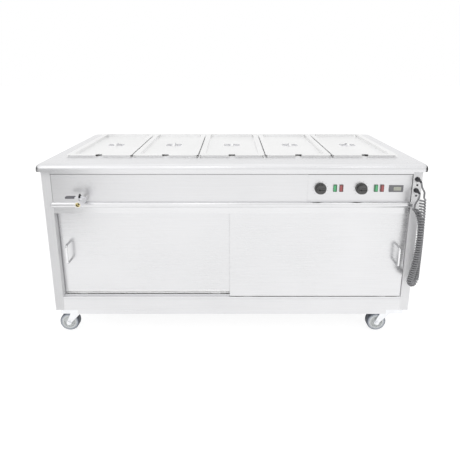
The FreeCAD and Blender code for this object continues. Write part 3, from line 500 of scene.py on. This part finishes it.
def pan(name):
    """Dull pan steel with painted light on its rim, which shows through the lids' notches."""
    material = metal(name, pan_steel, roughness=0.30, **along_y)
    tint(material, pan_rim, painted_light_white)
    return material


def tyre(name, x):
    """A bluish grey tyre with a paler side wall, darker towards the tread."""
    material, tree, shader = new_material(name)
    grit = noise(tree, scale=500.0)
    reach = ranged(tree, radial(tree, x, axle_height), 0, 1, tyre_wall)
    tone = ramp(tree, reach, *tyre_tones)
    gloss = ranged(tree, grit, low=0.48, high=0.62)
    set_inputs(tree, shader, Base_Color=tone, Roughness=gloss)
    bump(tree, shader, grit, depth=0.00008, strength=soft_bump)
    return material


def plated(name):
    """Nickel plate with the bare brass showing round the tap's mouth."""
    material, tree, shader = new_material(name)
    patches = noise(tree, scale=300.0)
    reach = ranged(tree, radial(tree, *tap_axis), 0, 1, tap_mouth)
    tone = ramp(tree, reach, *nickel_tones)
    gloss = ranged(tree, patches, low=0.28, high=0.42)
    set_inputs(tree, shader, Base_Color=tone, Roughness=gloss, Metallic=1.0)
    bump(tree, shader, patches, depth=0.00003, strength=hard_bump)
    return material


def lens(name, colour, middle, half_pitch):
    """Clear coloured lenses of two lamps, with upright ribs in them, darker towards their rims."""
    material, tree, shader = new_material(name)
    ribs = tree.nodes.new("ShaderNodeTexWave")
    ribs.bands_direction = "X"
    set_inputs(tree, ribs, Vector=own_place(tree), Scale=lamp_rib_scale)
    wave = ribs.outputs["Fac"]
    tone = toned(tree, wave, colour, low=0.8, high=1.3, span=rib_span)
    set_inputs(tree, shader, Base_Color=tone, Roughness=0.18, Coat_Weight=0.6)
    bump(tree, shader, wave, depth=0.0002, strength=soft_bump)
    reach = coordinate(tree, "X")
    for offset in (middle, half_pitch):
        reach = calc(tree, "ABSOLUTE", calc(tree, "SUBTRACT", reach, offset))
    rim_tone = shade(colour, factor=0.22)
    overlay(material, [ranged(tree, reach, low=0, high=0.8, span=lamp_side)], rim_tone)
    tint(material, [below("Z", lamp_low, lamp_low + lamp_rim)], rim_tone)
    tint(material, [above("Z", lamp_high - lamp_rim, lamp_high)], rim_tone)
    return material


def seamed(name, seams, other, roughness=0.38):
    """Satin sheet in another tone along some edges: painted shade where it meets another sheet, or
    painted light along the door track and the foot of a door.
    """
    material = metal(name, steel, roughness, **along_x)
    for seam in seams:
        tint(material, seam, other)
    return material


def post(name):
    """Satin posts, with painted light on the right one against the shade that the hanging cord
    casts on it.
    """
    material = metal(name, left_post_steel, roughness=0.55, metallic=0.1, **along_z)
    tint(material, right_post, right_post_painted_light)
    return material


def handle(name, front):
    """Bright bar with painted shade on its back, towards the door."""
    material = metal(name, handle_bright, roughness=0.16, spread=0.04, **polished_bar)
    tint(material, [above("Y", front + handle_shade_from, front + handle_shade_to)], handle_painted_shade)
    return material


def lever(name, stem):
    """Bright lever, dark where the stem comes through it."""
    material = metal(name, zinc, roughness=0.36, spread=0.08, **cast)
    round_stem = [
        above("X", stem - stem_outer, stem - stem_inner),
        below("X", stem + stem_inner, stem + stem_outer),
    ]
    tint(material, round_stem, stem_dark)
    return material


finishes = {
    "stainless": metal("brushed_stainless", steel, roughness=0.30, **along_x),
    "inner_steel": metal(
        "inner_stainless", inner_steel, roughness=0.27, spread=0.06, **along_x
    ),
    "zinc": metal("bright_zinc", zinc, roughness=0.36, spread=0.08, **cast),
    "brass": plated("tap_plate"),
    "knob_plastic": plastic("knob_black", (0.105, 0.104, 0.102), roughness=0.40),
    "grip_vinyl": plastic(
        "grip_grey", (0.16, 0.16, 0.175), roughness=0.5, pores=600.0, depth=0.00006
    ),
    "green_lens": lens("lens_green", (0.09, 0.50, 0.20), green_middle, green_half_pitch),
    "red_lens": lens("lens_red", (0.42, 0.09, 0.09), red_middle, red_half_pitch),
    "display_case": plastic("display_grey", (0.21, 0.21, 0.22), roughness=0.45),
    "display_glass": plastic(
        "display_pane",
        (0.50, 0.51, 0.43),
        roughness=0.22,
        pores=200.0,
        depth=0.00001,
        coat=0.5,
    ),
    "element_sheath": metal(
        "element_sheath", (0.45, 0.43, 0.41), roughness=0.4, spread=0.08, **drawn_tube
    ),
    "thermostat_case": plastic("thermostat_tan", (0.40, 0.34, 0.25), roughness=0.5),
    "gland_plastic": plastic("gland_grey", (0.045, 0.045, 0.05), roughness=0.42),
    # painted light on top of the cord's curls and painted shade under them
    "cord_rubber": top_lit_painted("cord_grey", (0.25, 0.25, 0.26), roughness=0.40),
    "wheel_centre": plastic("wheel_grey", (0.82, 0.84, 0.84), roughness=0.42),
}
own_finishes = {
    "end_panels": metal("brushed_stainless_ends", steel, roughness=0.30, **along_y),
    "deck_top": metal("deck_stainless", deck_steel, roughness=0.28, **along_x),
    "front_posts": post("post_stainless"),
    "door_head_rail": metal(
        "head_rail_stainless", steel, roughness=0.22, spread=0.04, **along_x
    ),
    "drain_pipe": metal("pipe_plate", nickel, roughness=0.22, **drawn_tube),
    "tap_lever": lever("lever_zinc", tap_axis[0]),
    "left_door_handle": handle("left_handle_bright", left_handle_front),
    "right_door_handle": handle("right_handle_bright", right_handle_front),
    "control_panel": seamed("panel_stainless", [panel_top, panel_end], panel_painted_shade),
    "fascia_panel": seamed("fascia_stainless", [fascia_end], fascia_painted_shade),
    # painted light on the door track and the left door's foot
    "plinth_rail": seamed("plinth_stainless", [track_rear, track_right], painted_light_white),
    "left_door": seamed("left_door_stainless", [left_door_foot], painted_light_white, roughness=0.30),
}
pan_count = 5
lid_finish, pan_finish = lid("lid_stainless"), pan("pan_stainless")
for i in range(1, pan_count + 1):
    own_finishes[f"lid_{i}"] = lid_finish
    own_finishes[f"pan_{i}"] = pan_finish
for side, x in (("left", axle_left), ("right", axle_right)):
    rubber = tyre(f"tyre_{side}", x)
    for end in ("front", "back"):
        own_finishes[f"tyre_{end}_{side}"] = rubber

for part in frame["record"]["subparts"]:
    item = nodes[part["node"]]
    finish = own_finishes.get(part["node"]) or finishes[part["material_slot"]]
    item.data.materials.clear()
    item.data.materials.append(finish)
cord.data.materials.append(finishes["cord_rubber"])

# Small pieces
sharp_angle = 0.6  # radians


def finished_mesh(name, mesh, material):
    data = bpy.data.meshes.new(name)
    mesh.to_mesh(data)
    mesh.free()
    data.materials.append(material)
    return data


def piece(name, mesh, material, body):
    """A smooth-shaded piece that rides on a body of the frame."""
    data = finished_mesh(name, mesh, material)
    for face in data.polygons:
        face.use_smooth = True
    item = add_object(name, data)
    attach(item, body)
    return item


def sharp_edges(item):
    """Keeps the edges crisp where faces meet at more than the sharp angle."""
    mesh = bmesh.new()
    mesh.from_mesh(item.data)
    for edge in mesh.edges:
        edge.smooth = len(edge.link_faces) == 2 and edge.calc_face_angle() < sharp_angle
    mesh.to_mesh(item.data)
    mesh.free()


def facing(direction):
    """The matrix that turns +Z to a direction."""
    return direction.to_track_quat("Z", "Y").to_matrix()


def ring(mesh, place, spin, radius, distance, sides):
    """Adds a ring of vertices round an axis, at a distance along it from a place."""
    angles = [2 * math.pi * i / sides for i in range(sides)]
    corners = [Vector((radius * math.cos(a), radius * math.sin(a), distance)) for a in angles]
    return [mesh.verts.new(place + spin @ local) for local in corners]


def skin(mesh, rings):
    """Joins rings of vertices to a closed solid."""
    sides = len(rings[0])
    for low, high in zip(rings, rings[1:]):
        for i in range(sides):
            j = (i + 1) % sides
            mesh.faces.new((low[i], low[j], high[j], high[i]))
    mesh.faces.new(list(reversed(rings[0])))
    mesh.faces.new(rings[-1])


def turned(mesh, profile, place, axis, sides):
    """Adds a solid of revolution: (radius, distance along the axis) from the back to the tip."""
    spin = facing(Vector(axis).normalized())
    skin(mesh, [ring(mesh, Vector(place), spin, r, distance, sides) for r, distance in profile])


# Strain reliefs: ribbed, tapered sleeves that follow the cord out of its glands
relief_length = 0.021
relief_margin = 0.01
relief_ribs = 4
relief_sides = 24
rings_per_rib, groove_rings = 6, (4, 5)
relief_root, relief_tip, relief_groove = 0.0056, 0.0043, 0.0005


def relief(name, points):
    """A sleeve along the first stretch of the cord's own line."""
    mesh = bmesh.new()
    stops, run = [(points[0], 0.0)], 0.0
    for a, b in zip(points, points[1:]):
        run += (b - a).length
        stops.append((b, run))
        if run > relief_length + relief_margin:
            break

    def at(distance):
        """The place and direction at a distance along the line, which runs past the sleeve."""
        for (a, s0), (b, s1) in zip(stops, stops[1:]):
            if distance <= s1:
                break
        return a.lerp(b, (distance - s0) / (s1 - s0)), (b - a).normalized()

    rings, steps = [], rings_per_rib * relief_ribs
    for i in range(steps + 1):
        share = i / steps
        centre, ahead = at(share * relief_length)
        radius = relief_root + (relief_tip - relief_root) * share
        if i % rings_per_rib in groove_rings and i < steps - 1:
            radius -= relief_groove
        rings.append(ring(mesh, centre, facing(ahead), radius, 0, relief_sides))
    skin(mesh, rings)
    return piece(name, mesh, finishes["gland_plastic"], "cabinet")


upper_relief = relief("upper_strain_relief", cord_points)
lower_relief = relief("lower_strain_relief", list(reversed(cord_points)))

# Marks: an arrow on each knob and a scale of ticks round it on the panel
knob_middles = {"well_knob": (0.412, 0.8275), "cupboard_knob": (0.602, 0.8275)}
grip_face, panel_face = -0.3235, -0.2975
mark_depth, tick_depth = 0.0004, 0.0002
arrow_tip, arrow_neck, arrow_tail = -0.0165, -0.0065, 0.0165
head_half, shaft_half = 0.0052, 0.0012
tick_inner, tick_outer, tick_half = 0.0315, 0.0365, 0.0006
tick_degrees = range(-45, 226, 30)
arrow = [
    (arrow_tip, 0),
    (arrow_neck, head_half),
    (arrow_neck, shaft_half),
    (arrow_tail, shaft_half),
    (arrow_tail, -shaft_half),
    (arrow_neck, -shaft_half),
    (arrow_neck, -head_half),
]
tick = [
    (tick_inner, tick_half),
    (tick_inner, -tick_half),
    (tick_outer, -tick_half),
    (tick_outer, tick_half),
]
mark_black = plastic("mark_black", grey(0.010), roughness=0.5)
tick_grey = plastic("tick_grey", (0.34, 0.34, 0.35), roughness=0.5)


def prism(mesh, outline, face, depth):
    """Adds a flat shape of (x, z) points that stands on a face and sticks out towards -Y."""
    back = [mesh.verts.new((x, face, z)) for x, z in outline]
    front = [mesh.verts.new((x, face - depth, z)) for x, z in outline]
    count = len(outline)
    mesh.faces.new(front)
    mesh.faces.new(list(reversed(back)))
    for i in range(count):
        j = (i + 1) % count
        mesh.faces.new((back[i], back[j], front[j], front[i]))


def swung(points, middle, degrees):
    """The points of a shape turned about its origin and moved to a middle."""
    c, s = math.cos(math.radians(degrees)), math.sin(math.radians(degrees))
    return [(middle[0] + x * c - z * s, middle[1] + x * s + z * c) for x, z in points]


for name, middle in knob_middles.items():
    mark = bmesh.new()
    prism(mark, swung(arrow, middle, 0), grip_face, mark_depth)
    bmesh.ops.recalc_face_normals(mark, faces=mark.faces)
    sharp_edges(piece(f"{name}_mark", mark, mark_black, name))
    scale = bmesh.new()
    for degrees in tick_degrees:
        prism(scale, swung(tick, middle, degrees), panel_face, tick_depth)
    bmesh.ops.recalc_face_normals(scale, faces=scale.faces)
    sharp_edges(piece(f"{name}_scale", scale, tick_grey, "cabinet"))

# Screws in the post under the cord's glands
post_face = -0.3005
screw_sides = 24
screw_places = [(0.8595, 0.845), (0.859, 0.793)]
screw_profile = [
    (0.0044, 0),
    (0.0044, 0.0012),
    (0.0039, 0.0022),
    (0.0028, 0.0029),
    (0.0012, 0.0032),
]
screws = bmesh.new()
for x, z in screw_places:
    turned(screws, screw_profile, (x, post_face, z), (0, -1, 0), screw_sides)
piece("gland_screws", screws, finishes["gland_plastic"], "cabinet")

# Nut that holds the tap's lever on its stem
stem_top = (-0.687, -0.347, 0.811)
nut_sides = 6
nut_profile = [
    (0.0058, 0),
    (0.0058, 0.0048),
    (0.0050, 0.0056),
    (0.0034, 0.0058),
    (0.0034, 0.0085),
    (0.0024, 0.0092),
]
nut = bmesh.new()
turned(nut, nut_profile, stem_top, (0, 0, 1), nut_sides)
sharp_edges(piece("tap_stem_nut", nut, finishes["gland_plastic"], "tap_lever"))

# Stage: a pale floor, a white background, soft studio light and cards for the steel to reflect
floor_side = 40.0
floor_grey = 0.75
shown_floor_grey, shown_floor_glow = 0.34, 0.83
world_strength, shown_world_strength = 0.92, 1.0
white = (1, 1, 1, 1)
lamp_target = (0, 0, 0.6)


def diffuse(tree, level):
    return add(tree, "ShaderNodeBsdfDiffuse", Color=(*grey(level), 1)).outputs["BSDF"]


def background(tree, strength):
    node = add(tree, "ShaderNodeBackground", Color=white, Strength=strength)
    return node.outputs["Background"]


def by_ray(tree, unseen, shown):
    """One shader for light alone, another for rays seen directly, in metal or through glass."""
    path = tree.nodes.new("ShaderNodeLightPath")
    seen = calc(tree, "MAXIMUM", path.outputs["Is Camera Ray"], path.outputs["Is Glossy Ray"])
    seen = calc(tree, "MAXIMUM", seen, path.outputs["Is Transmission Ray"])
    choice = add(tree, "ShaderNodeMixShader", Fac=seen)
    tree.links.new(unseen, choice.inputs[1])
    tree.links.new(shown, choice.inputs[2])
    return choice.outputs["Shader"]


floor_paint = bpy.data.materials.new("floor_paint")
tree = empty_tree(floor_paint)
glow = add(tree, "ShaderNodeEmission", Color=white, Strength=shown_floor_glow)
lit = tree.nodes.new("ShaderNodeAddShader")
tree.links.new(diffuse(tree, shown_floor_grey), lit.inputs[0])
tree.links.new(glow.outputs["Emission"], lit.inputs[1])
floor_shader = by_ray(tree, diffuse(tree, floor_grey), lit.outputs["Shader"])
add(tree, "ShaderNodeOutputMaterial", Surface=floor_shader)

floor_mesh = bmesh.new()
bmesh.ops.create_grid(floor_mesh, x_segments=2, y_segments=2, size=floor_side / 2)
floor = add_object("floor", finished_mesh("floor", floor_mesh, floor_paint))

world = bpy.data.worlds.new("studio")
scene.world = world
tree = empty_tree(world)
sky = by_ray(tree, background(tree, world_strength), background(tree, shown_world_strength))
add(tree, "ShaderNodeOutputWorld", Surface=sky)


def softbox(name, place, target, width, height, power):
    """A rectangular lamp that faces a target."""
    lamp = bpy.data.lights.new(name, "AREA")
    lamp.shape = "RECTANGLE"
    lamp.size = width
    lamp.size_y = height
    lamp.energy = power
    item = add_object(name, lamp)
    item.location = place
    item.rotation_euler = (Vector(target) - Vector(place)).to_track_quat("-Z", "Y").to_euler()


softbox("key", (-2.0, -3.2, 3.8), lamp_target, width=5.0, height=5.0, power=13.0)
softbox("top", (0.3, 0.4, 3.6), lamp_target, width=4.0, height=3.0, power=5.0)
for side, x in (("far_left", -2.3), ("left", -0.4), ("right", 1.6)):
    spot_target = (x / 3, -0.3, 0.9)
    softbox(f"{side}_spot", (x, -2.2, 3.0), spot_target, width=0.7, height=0.6, power=1.1)


def card(name, low, high, level):
    """An upright card that gives the steel something to reflect and that the camera doesn't see."""
    mesh = bmesh.new()
    (x0, y0, z0), (x1, y1, z1) = low, high
    corners = ((x0, y0, z0), (x1, y1, z0), (x1, y1, z1), (x0, y0, z1))
    mesh.faces.new([mesh.verts.new(p) for p in corners])
    paint = bpy.data.materials.new(name)
    tree = empty_tree(paint)
    add(tree, "ShaderNodeOutputMaterial", Surface=diffuse(tree, level))
    item = add_object(name, finished_mesh(name, mesh, paint))
    item.visible_camera = False


card("right_card", low=(3.2, -1.5, 0), high=(3.2, 2.0, 1.6), level=0.05)
card("left_card", low=(-3.2, -1.5, 0), high=(-3.2, 2.0, 1.6), level=0.22)
card("front_card", low=(-3.0, -1.65, 0), high=(-1.30, -1.65, 1.3), level=0.92)
